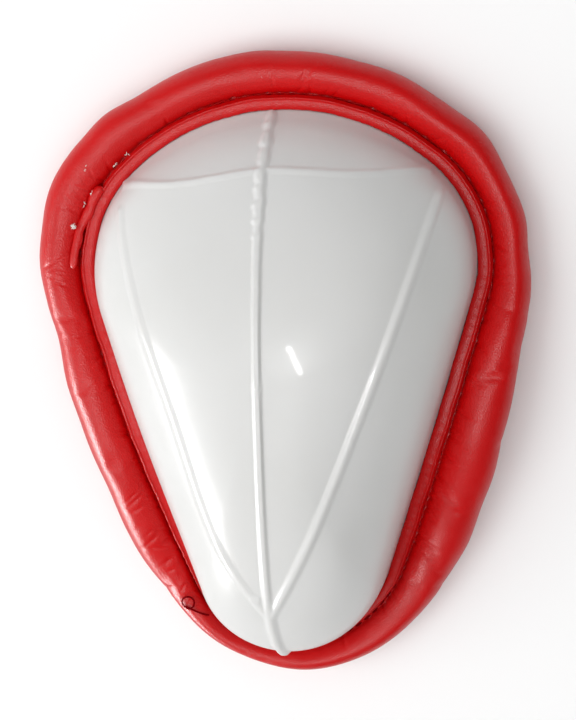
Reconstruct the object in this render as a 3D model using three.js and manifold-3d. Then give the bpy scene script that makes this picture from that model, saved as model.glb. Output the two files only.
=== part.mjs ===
// Groin protector: a moulded plastic cup whose flange is sewn into a stuffed roll of artificial leather.
// Millimetres. +Z is the way the dome points, +Y is the top of the cup, and z = 0 is the surface that it
// lies on, dome up. The origin is under the middle of the whole object.
import * as THREE from 'three';
import { mergeVertices } from 'three/addons/utils/BufferGeometryUtils.js';
import Module from 'manifold-3d';

const wasm = await Module();
wasm.setup();

// Outline of the dome's foot in plan, one side: a broad top arc, a tighter shoulder arc, a straight flank
// and a small bottom arc, each tangent to the next.
const TOP_RADIUS = 61.7;
const TOP_CENTRE_Y = 13.6;
const SHOULDER_RADIUS = 35;
const SHOULDER_ANGLE = THREE.MathUtils.degToRad(46);
const FLANK_ANGLE = THREE.MathUtils.degToRad(16.8);
const BOTTOM_CENTRE_Y = -52.5;

// The bottom end leans a little towards -X.
const BOTTOM_LEAN = -3.6;
const LEAN_START_Y = -28;
const LEAN_LENGTH = 50;

// Edge roll. U runs outwards from the dome's foot and V up from the resting surface.
const ROLL_CENTRE_U = 10.3;
const ROLL_CENTRE_V = 6.9;
const ROLL_HALF_WIDTH = 6.2;
const ROLL_HALF_HEIGHT = 7.6;
const BOTTOM_NARROWING = 0.32;
const NARROWING_START_Y = -45;
const NARROWING_END_Y = -80;
const LEATHER = 1.2;
const SLIT_ANGLE_FRONT = 0.88 * Math.PI;
const SLIT_ANGLE_REAR = 0.92 * Math.PI;
const SLIT_DEPTH = 1.6;
const GAP = 0.3;

// The sides of the edge arch up off the resting surface, to clear the thighs.
const ARCH_HEIGHT = 8;
const ARCH_TOP_Y = 50;
const ARCH_BOTTOM_Y = -70;

// Shell.
const WALL = 2.2;
const FLANGE_TOP = 8.6;
const FLANGE_BOTTOM = 6.6;
const FLANGE_EDGE_U = 6;
const DOME_CENTRE_X = -3.5;
const DOME_CENTRE_Y = 8.8;
const DOME_PEAK = 57;
const DOME_POWER = 2.35;
const DOME_POWER_TOP = 1.9;
const DOME_POWER_BOTTOM = 3;
const NOSE_OVERHANG = 2.5;
const TOP_FACET_SLOPE = 2.06;
const TOP_FACET_LIFT = 2;
const TOP_FACET_FADE_POWER = 2.7;
const SMALLEST_FADE = 0.02;
const TOP_FACET_HALF_WIDTH = 47.6;
const RIB_RADIUS = 1.3;
const RIB_SINK = 0.4;
const BOTTOM_RIB_RADIUS = 1.8;
const RIB_JOIN_Y = -57.2;
// The oblique ribs start in the upper corners. Their lower points: distance from the middle rib, and y.
const RIB_CORNER_X = 43;
const RIB_CORNER_Y = 49.3;
const RIGHT_RIB_LINE = [[27, 1], [11, -38], [0, RIB_JOIN_Y]];
const LEFT_RIB_LINE = [[24, 1], [12, -38], [0, RIB_JOIN_Y]];
const RIB_SKEW = 0.04;
const GATE_RADIUS = 2.2;
const GATE_THICKNESS = 1.8;
const GATE_SIDEWAYS = -3.2;
const GATE_ABOVE_JOIN = 4;
const RIB_SPACING = 7;

// The foam is cut to length and butted at the bottom end.
const FOAM_START = 0.502;
const FOAM_END = 1.498;

// Edge strips and sewing.
const LIP_START_U = 0.7;
const LIP = 1;
const WELT_WIDTH = 2.8;
const WELT_HEIGHT = 1.8;
const THREAD_RADIUS = 0.3;
const THREAD_U = 4.1;
const TAIL_TIP = 0.795;
const TAIL_ROOT = 0.85;
const TAIL_TAPER = 0.45;
const TAIL_ANGLE = THREE.MathUtils.degToRad(122);
const TAIL_HALF_WIDTH = 1.7;
const TAIL_HALF_HEIGHT = 0.6;

// Mesh fineness.
const SHELL_STEPS = 54;
const DOME_RINGS = 11;
const ROLL_STEPS = 54;
const ROLL_SIDES = 14;
const STRIP_SIDES = 8;
const THREAD_SIDES = 5;
const RIB_SIDES = 6;
const GATE_SIDES = 14;
const TAIL_STEPS = 10;
const SAMPLES = 1440;

const leatherRed = new THREE.MeshStandardMaterial({ color: 0xc8141c, roughness: 0.4, metalness: 0 });
const plasticWhite = new THREE.MeshStandardMaterial({ color: 0xe6e7e4, roughness: 0.2, metalness: 0 });
const foamGrey = new THREE.MeshStandardMaterial({ color: 0xd8d2b8, roughness: 0.95, metalness: 0 });
const threadRed = new THREE.MeshStandardMaterial({ color: 0x9a0e14, roughness: 0.7, metalness: 0 });

// The foot outline runs clockwise seen from above, from the top middle round by +X.
function footOutline() {
  const reach = TOP_RADIUS - SHOULDER_RADIUS;
  const shoulderX = reach * Math.cos(SHOULDER_ANGLE);
  const shoulderY = TOP_CENTRE_Y + reach * Math.sin(SHOULDER_ANGLE);
  const sideNormal = new THREE.Vector2(Math.cos(FLANK_ANGLE), -Math.sin(FLANK_ANGLE));
  const flankOffset = sideNormal.dot(new THREE.Vector2(shoulderX, shoulderY)) + SHOULDER_RADIUS;
  const bottomRadius = flankOffset - sideNormal.y * BOTTOM_CENTRE_Y;
  const path = new THREE.Path();
  path.absarc(0, TOP_CENTRE_Y, TOP_RADIUS, Math.PI / 2, SHOULDER_ANGLE, true);
  path.absarc(shoulderX, shoulderY, SHOULDER_RADIUS, SHOULDER_ANGLE, -FLANK_ANGLE, true);
  path.absarc(0, BOTTOM_CENTRE_Y, bottomRadius, -FLANK_ANGLE, Math.PI + FLANK_ANGLE, true);
  path.absarc(-shoulderX, shoulderY, SHOULDER_RADIUS, Math.PI + FLANK_ANGLE, Math.PI - SHOULDER_ANGLE, true);
  path.absarc(0, TOP_CENTRE_Y, TOP_RADIUS, Math.PI - SHOULDER_ANGLE, Math.PI / 2, true);
  const points = path.getSpacedPoints(SAMPLES);
  points.forEach((point) => {
    point.x += BOTTOM_LEAN * THREE.MathUtils.smoothstep(LEAN_START_Y - point.y, 0, LEAN_LENGTH);
  });
  return points;
}

const foot = footOutline();

// A point of the foot outline and its outward normal, at a fraction of the way round.
function footAt(fraction) {
  const index = ((Math.round(fraction * SAMPLES) % SAMPLES) + SAMPLES) % SAMPLES;
  const before = foot[(index + SAMPLES - 4) % SAMPLES];
  const after = foot[(index + 4) % SAMPLES];
  const along = after.clone().sub(before).normalize();
  return { point: foot[index], normal: new THREE.Vector2(-along.y, along.x) };
}

function archAt(y) {
  const along = THREE.MathUtils.clamp((ARCH_TOP_Y - y) / (ARCH_TOP_Y - ARCH_BOTTOM_Y), 0, 1);
  return ARCH_HEIGHT * 0.5 * (1 - Math.cos(2 * Math.PI * along));
}

// How much narrower the roll is near the bottom end.
function narrowingAt(y) {
  const along = (NARROWING_START_Y - y) / (NARROWING_START_Y - NARROWING_END_Y);
  return 1 - BOTTOM_NARROWING * THREE.MathUtils.smoothstep(along, 0, 1);
}

// Places a section point (u, v) of the edge at a fraction of the way round. Nothing goes below the
// resting surface: the roll is pressed flat there.
function edgePoint(fraction, u, v) {
  const { point, normal } = footAt(fraction);
  const out = u * narrowingAt(point.y);
  const z = Math.max(v, 0) + archAt(point.y);
  return [point.x + normal.x * out, point.y + normal.y * out, z];
}

function solidFrom(positions, triangles) {
  const geometry = new THREE.BufferGeometry();
  geometry.setAttribute('position', new THREE.Float32BufferAttribute(positions.flat(), 3));
  geometry.setIndex(triangles.flat());
  return geometry;
}

// Joins ring after ring of points, each with the same number, into a skin with its faces pointing out.
function skin(rings, count, triangles) {
  for (let ring = 0; ring + 1 < rings; ring += 1) {
    for (let step = 0; step < count; step += 1) {
      const next = (step + 1) % count;
      const a = ring * count + step;
      const b = ring * count + next;
      const c = a + count;
      const d = b + count;
      triangles.push([a, c, b], [b, c, d]);
    }
  }
}

// Sweeps a closed section, a list of [u, v] running anticlockwise, all the way round the edge.
function sweptRound(section, steps) {
  const positions = [];
  const triangles = [];
  for (let step = 0; step < steps; step += 1) {
    for (const [u, v] of section) {
      positions.push(edgePoint(step / steps, u, v));
    }
  }
  const count = section.length;
  for (let step = 0; step < steps; step += 1) {
    const here = step * count;
    const there = ((step + 1) % steps) * count;
    for (let side = 0; side < count; side += 1) {
      const next = (side + 1) % count;
      triangles.push([here + side, here + next, there + side], [here + next, there + next, there + side]);
    }
  }
  return solidFrom(positions, triangles);
}

// Sweeps a closed section along a stretch of the edge, with flat ends.
function sweptPart(section, from, to, steps, scaleAt) {
  const positions = [];
  const triangles = [];
  const middle = (axis) => section.reduce((sum, point) => sum + point[axis], 0) / section.length;
  const centre = [middle(0), middle(1)];
  for (let step = 0; step <= steps; step += 1) {
    const along = step / steps;
    const scale = scaleAt(along);
    for (const [u, v] of section) {
      const placed = [centre[0] + (u - centre[0]) * scale, centre[1] + (v - centre[1]) * scale];
      positions.push(edgePoint(from + (to - from) * along, ...placed));
    }
  }
  const count = section.length;
  for (let step = 0; step < steps; step += 1) {
    for (let side = 0; side < count; side += 1) {
      const next = (side + 1) % count;
      const here = step * count;
      const there = here + count;
      triangles.push([here + side, here + next, there + side], [here + next, there + next, there + side]);
    }
  }
  const last = steps * count;
  for (let side = 1; side + 1 < count; side += 1) {
    triangles.push([0, side + 1, side], [last, last + side, last + side + 1]);
  }
  return solidFrom(positions, triangles);
}

function rollSection(shrink, fromAngle, toAngle, steps) {
  const points = [];
  for (let step = 0; step <= steps; step += 1) {
    const angle = fromAngle + ((toAngle - fromAngle) * step) / steps;
    const u = ROLL_CENTRE_U + (ROLL_HALF_WIDTH - shrink) * Math.cos(angle);
    const v = ROLL_CENTRE_V + (ROLL_HALF_HEIGHT - shrink) * Math.sin(angle);
    points.push([u, v]);
  }
  return points;
}

// The leather strip: round the foam in a C, with a lip above and a lip below the flange.
function coverSection() {
  const upperLip = FLANGE_TOP + GAP;
  const lowerLip = FLANGE_BOTTOM - GAP;
  const slitEnd = ROLL_CENTRE_U - ROLL_HALF_WIDTH + SLIT_DEPTH;
  const outside = rollSection(0, -SLIT_ANGLE_REAR, SLIT_ANGLE_FRONT, ROLL_SIDES);
  const inside = rollSection(LEATHER, SLIT_ANGLE_FRONT, -SLIT_ANGLE_REAR, ROLL_SIDES);
  const insideFloor = inside.map(([u, v]) => [u, Math.max(v, LEATHER)]);
  const upper = [[LIP_START_U, upperLip + LIP], [LIP_START_U, upperLip], [slitEnd, upperLip]];
  const lower = [[slitEnd, lowerLip], [LIP_START_U, lowerLip], [LIP_START_U, lowerLip - LIP]];
  return [...outside, ...upper, ...insideFloor, ...lower];
}

function foamSection() {
  const nearSide = FLANGE_EDGE_U + GAP;
  const shrink = LEATHER + GAP;
  const ring = rollSection(shrink, -Math.PI, Math.PI, ROLL_SIDES).slice(0, -1);
  return ring.map(([u, v]) => [Math.max(u, nearSide), Math.max(v, shrink)]);
}

function weltSection(bottom) {
  const points = [];
  for (let step = 0; step < STRIP_SIDES; step += 1) {
    const angle = (step / STRIP_SIDES) * 2 * Math.PI;
    const u = LIP_START_U + WELT_WIDTH * 0.5 * (1 + Math.cos(angle));
    points.push([u, bottom + WELT_HEIGHT * 0.5 * (1 + Math.sin(angle))]);
  }
  return points;
}

function threadSection(v) {
  const points = [];
  for (let step = 0; step < THREAD_SIDES; step += 1) {
    const angle = (step / THREAD_SIDES) * 2 * Math.PI;
    points.push([THREAD_U + THREAD_RADIUS * Math.cos(angle), v + THREAD_RADIUS * Math.sin(angle)]);
  }
  return points;
}

// A flat strip that lies over the inner shoulder of the roll.
function tailSection() {
  const lift = GAP + TAIL_HALF_HEIGHT;
  const across = [-Math.sin(TAIL_ANGLE), Math.cos(TAIL_ANGLE)];
  const away = [Math.cos(TAIL_ANGLE), Math.sin(TAIL_ANGLE)];
  const centreU = ROLL_CENTRE_U + (ROLL_HALF_WIDTH + lift) * away[0];
  const centreV = ROLL_CENTRE_V + (ROLL_HALF_HEIGHT + lift) * away[1];
  const points = [];
  for (let step = 0; step < STRIP_SIDES; step += 1) {
    const angle = (step / STRIP_SIDES) * 2 * Math.PI;
    const along = TAIL_HALF_WIDTH * Math.cos(angle);
    const up = TAIL_HALF_HEIGHT * Math.sin(angle);
    points.push([centreU - across[0] * along + away[0] * up, centreV - across[1] * along + away[1] * up]);
  }
  return points;
}

function coverTail() {
  const scaleAt = (along) => 1 - TAIL_TAPER * (1 - along) ** 2;
  return sweptPart(tailSection(), TAIL_TIP, TAIL_ROOT, TAIL_STEPS, scaleAt);
}

// Distance from the dome's centre to its foot, in the direction of a plan point.
function footReach(x, y) {
  const angle = Math.atan2(y - DOME_CENTRE_Y, x - DOME_CENTRE_X);
  let reach = 0;
  let nearest = Infinity;
  for (const point of foot) {
    const turn = Math.atan2(point.y - DOME_CENTRE_Y, point.x - DOME_CENTRE_X) - angle;
    const apart = Math.abs(Math.atan2(Math.sin(turn), Math.cos(turn)));
    if (apart < nearest) {
      nearest = apart;
      reach = Math.hypot(point.x - DOME_CENTRE_X, point.y - DOME_CENTRE_Y);
    }
  }
  return reach;
}

// The dome is blunt at the sides, blunter at the bottom and leaner towards the top.
function domePower(x, y) {
  const upwards = (y - DOME_CENTRE_Y) / Math.hypot(x - DOME_CENTRE_X, y - DOME_CENTRE_Y, 1);
  const end = upwards > 0 ? DOME_POWER_TOP : DOME_POWER_BOTTOM;
  return THREE.MathUtils.lerp(DOME_POWER, end, upwards ** 2);
}

// A steep facet cuts the top of the dome. It ends in the two upper corners.
function topFacet(x, y) {
  const inwards = TOP_RADIUS - Math.hypot(x, y - TOP_CENTRE_Y);
  const fade = 1 - Math.abs(x / TOP_FACET_HALF_WIDTH) ** TOP_FACET_FADE_POWER;
  if (fade < SMALLEST_FADE || y < TOP_CENTRE_Y) {
    return Infinity;
  }
  return FLANGE_TOP + (TOP_FACET_SLOPE * inwards) / fade + TOP_FACET_LIFT;
}

// Height of the dome's outer face at a plan point that lies at a share of the way out to the foot.
function domeHeight(x, y, share, footY) {
  const base = FLANGE_TOP + archAt(footY);
  const rise = Math.sqrt(Math.max(1 - share ** domePower(x, y), 0));
  return Math.min(base + (DOME_PEAK - base) * rise, Math.max(topFacet(x, y), base));
}

function domeSurface(x, y) {
  const reach = footReach(x, y);
  const share = Math.hypot(x - DOME_CENTRE_X, y - DOME_CENTRE_Y) / reach;
  const footY = DOME_CENTRE_Y + (y - DOME_CENTRE_Y) / Math.max(share, 0.001);
  return { z: domeHeight(x, y, share, footY), footY };
}

// How far the nose, the dome's bottom end, bulges out over its foot at a plan point and height.
function noseBulge(x, y, z, footY) {
  const base = FLANGE_TOP + archAt(footY);
  const rise = THREE.MathUtils.clamp((z - base) / (DOME_PEAK - base), 0, 1);
  const downwards = (DOME_CENTRE_Y - y) / Math.hypot(x - DOME_CENTRE_X, y - DOME_CENTRE_Y, 1);
  return NOSE_OVERHANG * 4 * rise * (1 - rise) * Math.max(downwards, 0) ** 6;
}

function domePoint(fraction, share) {
  const { point } = footAt(fraction);
  const x = DOME_CENTRE_X + (point.x - DOME_CENTRE_X) * share;
  const y = DOME_CENTRE_Y + (point.y - DOME_CENTRE_Y) * share;
  const z = domeHeight(x, y, share, point.y);
  return new THREE.Vector3(x, y - noseBulge(x, y, z, point.y), z);
}

// The same point moved in by the wall thickness, along the face's normal.
function innerPoint(fraction, share) {
  const small = 0.004;
  const here = domePoint(fraction, share);
  const inside = domePoint(fraction, Math.max(share - small, 0));
  const outside = domePoint(fraction, Math.min(share + small, 1));
  const round = domePoint(fraction + small, share).sub(domePoint(fraction - small, share));
  const normal = round.cross(outside.sub(inside)).normalize();
  return here.addScaledVector(normal, -WALL);
}

// Shares of the way out for the dome's rings, from just inside the foot to just short of the peak.
function ringShares() {
  const shares = [];
  for (let ring = 1; ring < DOME_RINGS; ring += 1) {
    shares.push(Math.cos((ring / DOME_RINGS) * 0.5 * Math.PI) ** (2 / DOME_POWER));
  }
  return shares;
}

function shellBody() {
  const positions = [];
  const triangles = [];
  const shares = ringShares();
  const rings = [];
  [...shares].reverse().forEach((share) => rings.push((fraction) => domePoint(fraction, share).toArray()));
  rings.push((fraction) => edgePoint(fraction, 0, FLANGE_TOP));
  rings.push((fraction) => edgePoint(fraction, FLANGE_EDGE_U, FLANGE_TOP));
  rings.push((fraction) => edgePoint(fraction, FLANGE_EDGE_U, FLANGE_BOTTOM));
  rings.push((fraction) => edgePoint(fraction, -WALL, FLANGE_BOTTOM));
  shares.forEach((share) => rings.push((fraction) => innerPoint(fraction, share).toArray()));
  rings.forEach((ring) => {
    for (let step = 0; step < SHELL_STEPS; step += 1) {
      positions.push(ring(step / SHELL_STEPS));
    }
  });
  skin(rings.length, SHELL_STEPS, triangles);
  const outerPeak = positions.push([DOME_CENTRE_X, DOME_CENTRE_Y, DOME_PEAK]) - 1;
  const innerPeak = positions.push([DOME_CENTRE_X, DOME_CENTRE_Y, DOME_PEAK - WALL]) - 1;
  const lastRing = (rings.length - 1) * SHELL_STEPS;
  for (let step = 0; step < SHELL_STEPS; step += 1) {
    const next = (step + 1) % SHELL_STEPS;
    triangles.push([outerPeak, step, next], [innerPeak, lastRing + next, lastRing + step]);
  }
  triangles.forEach((triangle) => triangle.reverse());
  return solidFrom(positions, triangles);
}

// The middle line of the moulding, which runs slightly askew to the edge.
function middleX(y) {
  return DOME_CENTRE_X + RIB_SKEW * (y - DOME_CENTRE_Y);
}

// A half-sunk round bar along a line on the dome, given by its plan points.
function ribAlong(planPoints, radius) {
  const curve = new THREE.CatmullRomCurve3(planPoints.map(([x, y]) => new THREE.Vector3(x, y, 0)));
  const steps = Math.ceil(curve.getLength() / RIB_SPACING);
  const lifted = curve.getSpacedPoints(steps).map(({ x, y }) => {
    const { z, footY } = domeSurface(x, y);
    return new THREE.Vector3(x, y - noseBulge(x, y, z, footY), z - RIB_SINK);
  });
  const section = new THREE.Shape();
  section.absarc(0, 0, radius, 0, 2 * Math.PI, false);
  const path = new THREE.CatmullRomCurve3(lifted);
  const options = { steps, extrudePath: path, curveSegments: RIB_SIDES, bevelEnabled: false };
  return new THREE.ExtrudeGeometry(section, options);
}

function creaseRib() {
  const rightHalf = [[14, 58.6], [30, 56], [43.5, 50.8]];
  const leftHalf = rightHalf.map(([x, y]) => [-x, y]).reverse();
  return ribAlong([...leftHalf, [0, 59.4], ...rightHalf], RIB_RADIUS);
}

function centreRib() {
  return ribAlong([67, 40, 0, RIB_JOIN_Y].map((y) => [middleX(y), y]), RIB_RADIUS);
}

// From an upper corner of the dome down to the join, on the side +1 or -1.
function obliqueRib(side) {
  const fromMiddle = side > 0 ? RIGHT_RIB_LINE : LEFT_RIB_LINE;
  const lower = fromMiddle.map(([out, y]) => [middleX(y) + side * out, y]);
  return ribAlong([[side * RIB_CORNER_X, RIB_CORNER_Y], ...lower], RIB_RADIUS);
}

function bottomRib() {
  return ribAlong([RIB_JOIN_Y + 2, -68, -75].map((y) => [middleX(y), y]), BOTTOM_RIB_RADIUS);
}

function gateMark() {
  const disc = new THREE.CylinderGeometry(GATE_RADIUS, GATE_RADIUS, GATE_THICKNESS, GATE_SIDES);
  disc.rotateX(Math.PI / 2);
  const y = RIB_JOIN_Y + GATE_ABOVE_JOIN;
  const x = middleX(y) + GATE_SIDEWAYS;
  disc.translate(x, y, domeSurface(x, y).z);
  return disc;
}

function toManifold(geometry) {
  const bare = geometry.clone();
  bare.deleteAttribute('normal');
  bare.deleteAttribute('uv');
  const merged = mergeVertices(bare, 1e-4);
  const vertProperties = new Float32Array(merged.attributes.position.array);
  const triVerts = new Uint32Array(merged.index.array);
  return new wasm.Manifold(new wasm.Mesh({ numProp: 3, vertProperties, triVerts }));
}

function fromManifold(solid) {
  const mesh = solid.getMesh();
  const geometry = new THREE.BufferGeometry();
  geometry.setAttribute('position', new THREE.BufferAttribute(mesh.vertProperties, 3));
  geometry.setIndex(new THREE.BufferAttribute(mesh.triVerts, 1));
  return geometry;
}

function cupShell() {
  const ribs = [creaseRib(), centreRib(), obliqueRib(1), obliqueRib(-1), bottomRib(), gateMark()];
  const moulding = ribs.reduce((body, rib) => body.add(toManifold(rib)), toManifold(shellBody()));
  return fromManifold(moulding);
}

const part = new THREE.Group();

function addPiece(name, geometry, material) {
  const mesh = new THREE.Mesh(geometry, material);
  mesh.name = name;
  part.add(mesh);
}

const frontLipTop = FLANGE_TOP + GAP + LIP;
const rearLipBottom = FLANGE_BOTTOM - GAP - LIP;
const frontThreadV = frontLipTop + GAP + THREAD_RADIUS;
const rearThreadV = rearLipBottom - GAP - THREAD_RADIUS;

addPiece('cup_shell', cupShell(), plasticWhite);
addPiece('foam_core', sweptPart(foamSection(), FOAM_START, FOAM_END, ROLL_STEPS, () => 1), foamGrey);
addPiece('rim_cover', sweptRound(coverSection(), ROLL_STEPS), leatherRed);
addPiece('front_welt', sweptRound(weltSection(frontLipTop + GAP), ROLL_STEPS), leatherRed);
addPiece('rear_welt', sweptRound(weltSection(rearLipBottom - GAP - WELT_HEIGHT), ROLL_STEPS), leatherRed);
addPiece('front_thread', sweptRound(threadSection(frontThreadV), ROLL_STEPS), threadRed);
addPiece('rear_thread', sweptRound(threadSection(rearThreadV), ROLL_STEPS), threadRed);
addPiece('cover_tail', coverTail(), leatherRed);

export default part;
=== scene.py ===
"""Looks of the groin protector: a ribbed plastic cup sewn into a stuffed roll of red artificial leather.

Lengths are in millimetres until a mesh is made, and metres after that. The plan outline and the section of
the edge repeat the CAD part's driving dimensions. A place on the edge is a fraction of the way round, which
runs clockwise seen from above from the top middle, with U outwards from the dome's foot and V upwards.
"""

import math

import bpy
import numpy as np
from mathutils import Matrix, Vector


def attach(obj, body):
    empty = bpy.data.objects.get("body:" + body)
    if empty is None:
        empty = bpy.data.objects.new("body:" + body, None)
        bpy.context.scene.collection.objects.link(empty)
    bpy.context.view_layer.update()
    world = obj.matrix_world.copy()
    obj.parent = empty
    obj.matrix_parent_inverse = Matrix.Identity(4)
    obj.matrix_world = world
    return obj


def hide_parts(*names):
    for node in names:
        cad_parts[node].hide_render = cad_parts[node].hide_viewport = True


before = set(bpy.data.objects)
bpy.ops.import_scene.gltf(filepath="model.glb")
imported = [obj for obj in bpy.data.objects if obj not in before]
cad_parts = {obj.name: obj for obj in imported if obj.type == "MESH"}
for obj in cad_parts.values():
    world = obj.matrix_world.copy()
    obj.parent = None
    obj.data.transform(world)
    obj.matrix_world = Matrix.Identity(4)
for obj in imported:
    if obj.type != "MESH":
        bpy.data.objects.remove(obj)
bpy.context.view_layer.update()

MM = 0.001
SEED = 20

# Plan outline of the dome's foot.
TOP_RADIUS = 61.7
TOP_CENTRE_Y = 13.6
SHOULDER_RADIUS = 35.0
SHOULDER_ANGLE = math.radians(46)
FLANK_ANGLE = math.radians(16.8)
BOTTOM_CENTRE_Y = -52.5

# The bottom end leans a little towards -X.
BOTTOM_LEAN = -3.6
LEAN_START_Y = -28.0
LEAN_LENGTH = 50.0

# Edge roll and its seam.
ROLL_CENTRE_U = 10.3
ROLL_CENTRE_V = 6.9
ROLL_HALF_WIDTH = 6.2
ROLL_HALF_HEIGHT = 7.6
BOTTOM_NARROWING = 0.32
NARROWING_START_Y = -45.0
NARROWING_END_Y = -80.0
LEATHER = 1.2
SLIT_ANGLE_FRONT = 0.88 * math.pi
SLIT_ANGLE_REAR = 0.92 * math.pi
LIP = 1.0
LIP_START_U = 0.9
SLIT_END_U = ROLL_CENTRE_U - ROLL_HALF_WIDTH + 1.6
GAP = 0.3
ARCH_HEIGHT = 8.0
ARCH_TOP_Y = 50.0
ARCH_BOTTOM_Y = -70.0

# Shell.
WALL = 2.2
FLANGE_TOP = 8.6
FLANGE_BOTTOM = 6.6
FLANGE_EDGE_U = 6.0
FILLET = 1.6
FLARE = 0.9
FLARE_HEIGHT = 7.0
DOME_CENTRE_X = -3.5
DOME_CENTRE_Y = 8.8
DOME_PEAK = 57.0
DOME_POWER = 2.35
DOME_POWER_TOP = 1.9
DOME_POWER_BOTTOM = 3.0
NOSE_OVERHANG = 2.5
TOP_FACET_SLOPE = 2.06
TOP_FACET_FADE_POWER = 2.7
SMALLEST_FADE = 0.02
TOP_FACET_HALF_WIDTH = 47.6
TOP_FACET_LIFT = 2.0
CREASE_ROUNDING = 1.2

# Ribs. Each oblique rib has its side, its height, the x of its upper corner, and how far it lies from the
# middle rib at the two oblique rows.
RIB_JOIN_Y = -57.2
RIB_SKEW = 0.04
OBLIQUE_RIBS = [(1, 0.75, 44.4, 27, 11), (-1, 0.4, 42, 24, 12)]
OBLIQUE_TOP_Y = 52.0
OBLIQUE_UPPER_Y = 1
OBLIQUE_LOWER_Y = -38
CENTRE_RIB_HEIGHT = 0.75
CREASE_HEIGHT = 0.5
GATE_SIDEWAYS = -3.2
GATE_ABOVE_JOIN = 4
GATE_HEIGHT = 0.45

# Places worked out along the foot outline.
SAMPLES = 4000

# Sewing and strips.
STITCHES = 138
SEAM_U = 4.4
WELT_MIDDLE_U = 2.5
WELT_HALF_WIDTH = 2.1
WELT_HALF_HEIGHT = 1.05
FOAM_START = 0.502
FOAM_END = 1.498
TAIL_TOP = 0.874
TAIL_FOOT = 0.832
TAIL_REST = 11.6
LOOP_FRACTION = 0.5765

# Uneven stuffing of the roll: how far out it stands, in millimetres, at fractions of the way round.
EDGE_TURN = 0.022
STUFFING = [
    (0.03, -1.2), (0.08, -1.5), (0.125, -2.4), (0.155, -2.8), (0.185, -1.0), (0.225, 1.7), (0.27, 3.6),
    (0.31, 4.2), (0.35, 3.4), (0.39, 2.4), (0.43, 1.8), (0.465, 0.8), (0.5, -1.2), (0.545, -1.8),
    (0.59, 0.4), (0.63, 0.9), (0.68, 1.1), (0.72, 1.4), (0.77, -0.5), (0.80, -0.4), (0.84, 1.2), (0.87, 0.2),
    (0.91, -0.9), (0.95, -0.6), (0.985, -1.0),
]
STUFFING_CORNERS = [
    (0.10, 0.6), (0.145, 0.8), (0.172, 0.7), (0.192, 0.6), (0.803, 0.9), (0.882, 0.7), (0.97, 0.4),
]

# Patches of fine creases: middle, half length, number and how far from the seam.
CREASE_PATCHES = [
    (0.866, 0.012, 22, 0.75), (0.82, 0.007, 9, 1.0), (0.5, 0.5, 70, 0.1), (0.62, 0.05, 14, 0.8),
    (0.15, 0.05, 14, 0.4), (0.34, 0.06, 12, 0.3), (0.0, 0.06, 8, 1.0),
]

# Tufts of backing fibres: fraction, u, number and greatest length.
FIBRE_TUFTS = [
    (0.846, 7.2, 24, 0.9), (0.899, 5.2, 4, 0.9), (0.889, 5.4, 5, 0.9), (0.868, 6.0, 5, 0.8),
    (0.860, 6.4, 4, 0.8), (0.878, 11.0, 3, 0.5), (0.335, 12.5, 3, 0.6), (0.53, 5.5, 3, 0.8),
]

# Cloth simulation of the roll.
SLEEVE_STEPS = 420
SLEEVE_SIDES = 26
SLEEVE_SCALE = 10.0
SLEEVE_FRAMES = 21
MOST_SHIFT = 0.45


def random_source(extra):
    return np.random.default_rng(SEED + extra)


# ---------------------------------------------------------------- plan outline and edge


def smooth_step(value):
    value = np.clip(value, 0.0, 1.0)
    return value * value * (3 - 2 * value)


def foot_outline():
    """The foot outline as evenly spaced points and their outward normals."""
    reach = TOP_RADIUS - SHOULDER_RADIUS
    shoulder = np.array([math.cos(SHOULDER_ANGLE), math.sin(SHOULDER_ANGLE)]) * reach
    shoulder[1] += TOP_CENTRE_Y
    side = np.array([math.cos(FLANK_ANGLE), -math.sin(FLANK_ANGLE)])
    bottom_radius = side @ shoulder + SHOULDER_RADIUS - side[1] * BOTTOM_CENTRE_Y
    arcs = [
        ((0.0, TOP_CENTRE_Y), TOP_RADIUS, math.pi / 2, SHOULDER_ANGLE),
        (shoulder, SHOULDER_RADIUS, SHOULDER_ANGLE, -FLANK_ANGLE),
        ((0.0, BOTTOM_CENTRE_Y), bottom_radius, -FLANK_ANGLE, -math.pi / 2),
    ]
    stretches = []
    for centre, radius, start, end in arcs:
        angles = np.linspace(start, end, 600)
        stretches.append(np.array(centre) + radius * np.stack([np.cos(angles), np.sin(angles)], 1))
    right = np.concatenate(stretches)
    left = right[::-1] * np.array([-1.0, 1.0])
    points = np.concatenate([right, left[1:]])
    points[:, 0] += BOTTOM_LEAN * smooth_step((LEAN_START_Y - points[:, 1]) / LEAN_LENGTH)
    steps = np.hypot(*np.diff(points, axis=0).T)
    travelled = np.concatenate([[0.0], np.cumsum(steps)])
    wanted = np.linspace(0, travelled[-1], SAMPLES + 1)[:-1]
    even = np.stack([np.interp(wanted, travelled, points[:, k]) for k in range(2)], 1)
    along = np.roll(even, -6, 0) - np.roll(even, 6, 0)
    along /= np.hypot(*along.T)[:, None]
    return even, np.stack([-along[:, 1], along[:, 0]], 1), travelled[-1]


FOOT, FOOT_NORMAL, PERIMETER = foot_outline()


def foot_at(fractions):
    """Foot points and outward normals at fractions of the way round."""
    place = np.mod(np.asarray(fractions, float), 1.0) * SAMPLES
    low = np.floor(place).astype(int) % SAMPLES
    high = (low + 1) % SAMPLES
    part = (place - np.floor(place))[..., None]
    point = FOOT[low] * (1 - part) + FOOT[high] * part
    normal = FOOT_NORMAL[low] * (1 - part) + FOOT_NORMAL[high] * part
    return point, normal / np.hypot(normal[..., 0], normal[..., 1])[..., None]


def arch_at(y):
    along = np.clip((ARCH_TOP_Y - y) / (ARCH_TOP_Y - ARCH_BOTTOM_Y), 0, 1)
    return ARCH_HEIGHT * 0.5 * (1 - np.cos(2 * np.pi * along))


def narrowing_at(y):
    along = (NARROWING_START_Y - y) / (NARROWING_START_Y - NARROWING_END_Y)
    return 1 - BOTTOM_NARROWING * smooth_step(along)


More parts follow.
